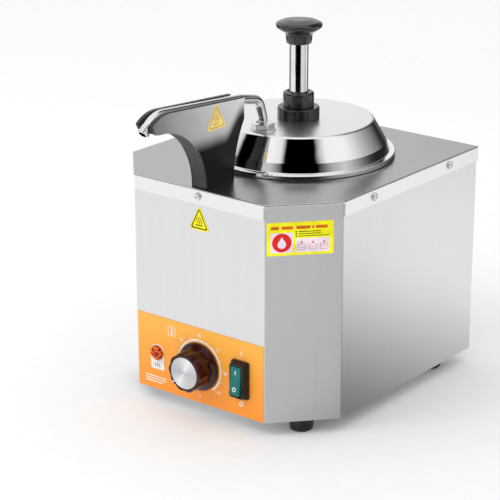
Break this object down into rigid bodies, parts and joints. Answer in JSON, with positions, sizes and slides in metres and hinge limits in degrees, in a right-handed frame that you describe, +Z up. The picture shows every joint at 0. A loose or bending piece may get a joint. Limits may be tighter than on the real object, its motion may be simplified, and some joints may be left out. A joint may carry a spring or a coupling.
{
  "type": "nacho cheese dispenser",
  "caption": "Counter-top cheese warmer with a chamfered steel casing, domed lid, push-down pump, tube and spout over the front, dial, lamp and rocker switch.",
  "frame": {"origin": "centre of the overall box at the surface it stands on", "axes": "+X to the right of the user facing the front, +Y towards the rear, +Z up"},
  "size_m": [0.267, 0.3865, 0.37],
  "materials": {
    "casing_steel": "satin, brushed",
    "top_steel": "satin, brushed",
    "panel_steel": "satin, brushed",
    "base_steel": "galvanised",
    "foot_rubber": "matte",
    "screw_steel": "bright",
    "printed_film": "satin print",
    "sticker_film": "satin print",
    "dial_plastic": "semi-gloss",
    "dial_aluminium": "spun",
    "shaft_brass": "turned",
    "thermostat_zinc": "cast",
    "bulb_copper": "drawn",
    "label_film": "satin print",
    "amber_lens": "faceted",
    "black_plastic": "semi-gloss",
    "rocker_plastic": "translucent",
    "pan_steel": "deep drawn",
    "heater_alloy": "cast",
    "element_steel": "heat-darkened",
    "ceramic_body": "matte",
    "wire_jacket": "matte",
    "spout_steel": "polished",
    "spout_dark": "semi-gloss",
    "heater_pad": "silicone",
    "pot_steel": "satin",
    "lid_steel": "polished",
    "pump_plastic": "satin",
    "barrel_plastic": "satin",
    "polished_steel": "mirror",
    "ball_steel": "mirror",
    "seal_rubber": "matte",
    "spring_steel": "drawn wire",
    "gland_nylon": "satin"
  },
  "bodies": {
    "casing": {"shell_wrap": "casing_steel", "top_plate": "top_steel", "rear_panel": "panel_steel", "base_plate": "base_steel", "rubber_feet": "foot_rubber", "foot_screws": "screw_steel", "foot_nuts": "screw_steel", "top_plate_screws": "screw_steel", "rear_panel_screws": "screw_steel", "control_overlay": "printed_film", "hot_stickers": "sticker_film", "water_sticker": "sticker_film", "thermostat_body": "thermostat_zinc", "thermostat_screws": "screw_steel", "thermostat_bulb": "bulb_copper", "indicator_label": "label_film", "indicator_lens": "amber_lens", "indicator_body": "black_plastic", "switch_body": "black_plastic", "water_pan": "pan_steel", "heater_plate": "heater_alloy", "heating_element": "element_steel", "heater_clamp": "base_steel", "heater_stud": "screw_steel", "overheat_cutout": "ceramic_body", "terminal_block": "ceramic_body", "wiring_harness": "wire_jacket", "cable_gland": "gland_nylon", "gland_locknut": "gland_nylon", "spout_cheek_left": "spout_steel", "spout_cheek_right": "spout_steel", "spout_lips": "spout_dark", "spout_belly": "spout_dark", "spout_back": "spout_dark", "spout_liner": "spout_dark", "spout_heater": "heater_pad", "spout_block": "heater_alloy", "spout_screws": "screw_steel"},
    "dial": {"thermostat_knob": "dial_plastic", "dial_cap": "dial_aluminium", "thermostat_shaft": "shaft_brass"},
    "rocker": {"switch_rocker": "rocker_plastic"},
    "pot": {"food_pot": "pot_steel"},
    "lid_and_pump": {"lid": "lid_steel", "pump_lock_nut": "pump_plastic", "pump_head": "pump_plastic", "pump_cylinder": "barrel_plastic", "foot_valve": "barrel_plastic", "ball_cage": "barrel_plastic", "riser_pipe": "polished_steel", "tube_washer": "screw_steel", "tube_nut": "screw_steel", "discharge_tube": "polished_steel", "nozzle": "polished_steel", "pump_spring": "spring_steel"},
    "plunger": {"pump_rod": "polished_steel", "pump_knob": "pump_plastic", "pump_piston": "barrel_plastic", "piston_seal": "seal_rubber"},
    "ball": {"valve_ball": "ball_steel"}
  },
  "joints": [
    {"name": "dial_turn", "type": "hinge", "parent": "casing", "child": "dial", "pos_m": [0, -0.11176, 0.053], "axis": [0, 1, 0], "range_deg": [0, 270]},
    {"name": "rocker_tip", "type": "hinge", "parent": "casing", "child": "rocker", "pos_m": [0.052, -0.11476, 0.053], "axis": [1, 0, 0], "range_deg": [0, 14]},
    {"name": "pot_lift", "type": "slide", "parent": "casing", "child": "pot", "axis": [0, 0, 1], "range_m": [0, 0.165]},
    {"name": "lid_lift", "type": "slide", "parent": "pot", "child": "lid_and_pump", "axis": [0, 0, 1], "range_m": [0, 0.16]},
    {"name": "pump_plunge", "type": "slide", "parent": "lid_and_pump", "child": "plunger", "axis": [0, 0, -1], "range_m": [0, 0.042], "stiffness_N_per_m": 250, "springref_m": -0.015, "deforming": ["pump_spring"]},
    {"name": "ball_lift", "type": "slide", "parent": "lid_and_pump", "child": "ball", "axis": [0, 0, 1], "range_m": [0, 0.003]}
  ]
}
